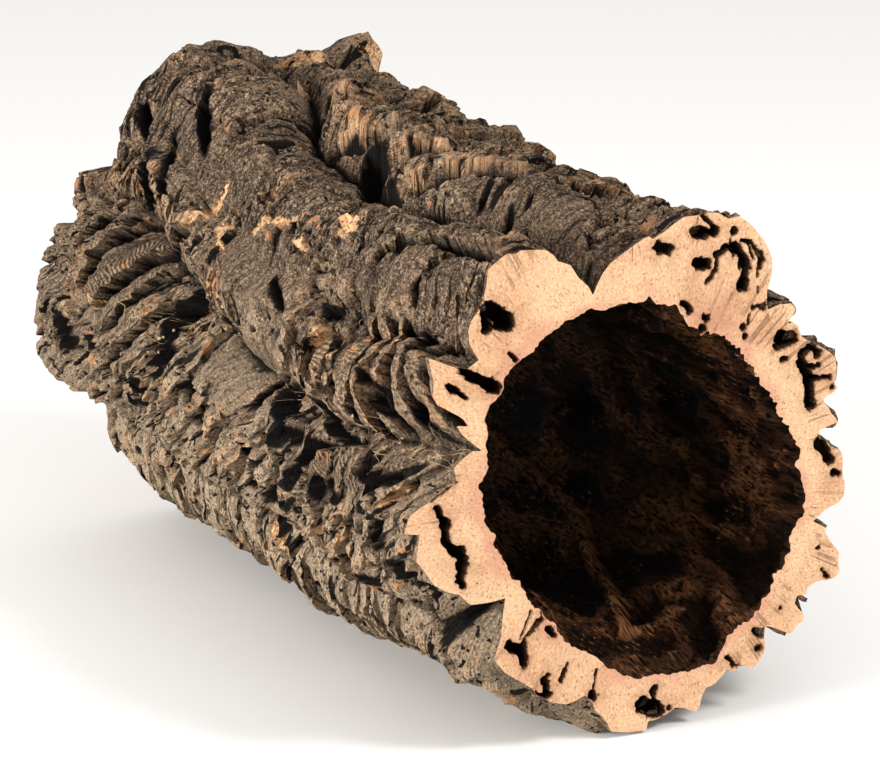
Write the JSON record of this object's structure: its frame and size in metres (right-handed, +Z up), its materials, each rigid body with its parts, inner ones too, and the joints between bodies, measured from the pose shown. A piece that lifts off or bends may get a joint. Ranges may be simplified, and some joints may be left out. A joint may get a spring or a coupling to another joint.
{
  "type": "cork branch tube",
  "caption": "Natural cork branch: a ridged, furrowed tube of virgin cork bark sawn at both ends, as a hide or planter for a terrarium.",
  "frame": {"origin": "middle of the tube's box at the surface that it lies on", "axes": "+X along the tube toward the mouth, +Y across it, +Z up"},
  "size_m": [0.3, 0.1816, 0.1853],
  "materials": {
    "cork_bark": "dry rough grey-brown bark, pale peach cork on the sawn ends, near black inside"
  },
  "bodies": {
    "root": {"cork_tube": "cork_bark"}
  },
  "joints": []
}
